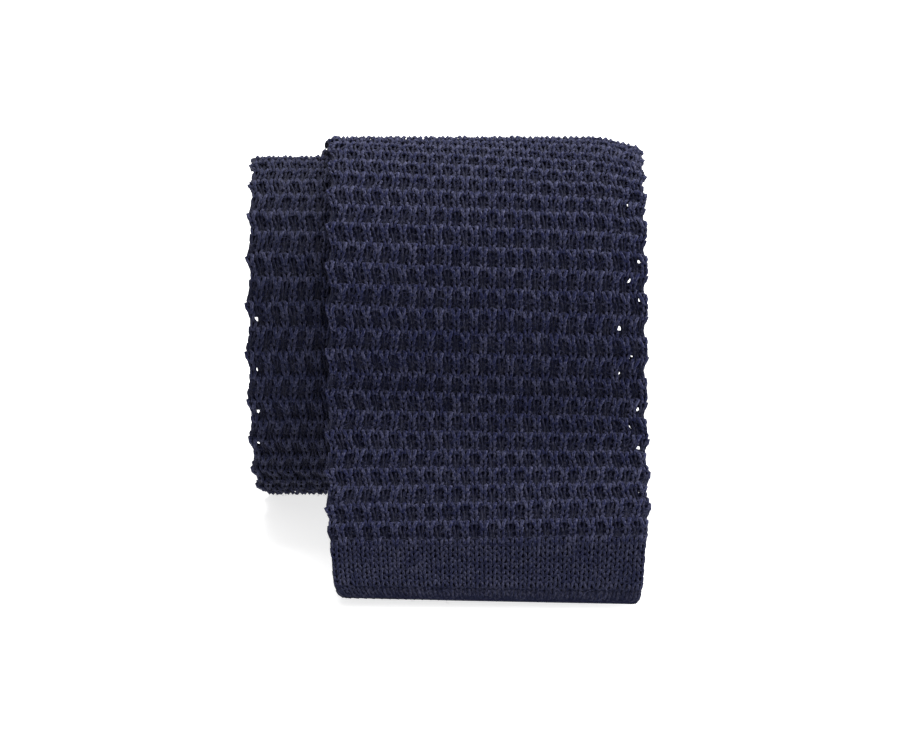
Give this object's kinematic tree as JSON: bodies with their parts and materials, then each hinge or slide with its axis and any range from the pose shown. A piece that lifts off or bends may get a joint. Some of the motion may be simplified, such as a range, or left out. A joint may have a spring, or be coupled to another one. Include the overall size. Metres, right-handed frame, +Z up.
{
  "type": "rolled knit tie",
  "caption": "Square-ended knit tie folded in half and rolled up, its wide end sloping down to the table in front and its narrow end flat under the roll.",
  "frame": {"origin": "on the table, under the middle of the whole rolled tie", "axes": "+X along the roll's axis with the narrow half showing at -X, +Y from the blade's end back to the roll, +Z up"},
  "size_m": [0.075, 0.1028, 0.0685],
  "materials": {
    "tuck_knit": "navy yarn in a ribbed tuck-stitch knit, matt with a slight sheen",
    "plain_knit": "the same navy yarn in plain knit, matt"
  },
  "bodies": {
    "root": {"knit_tube": "tuck_knit", "blade_hem": "plain_knit", "tail_hem": "plain_knit"}
  },
  "joints": []
}
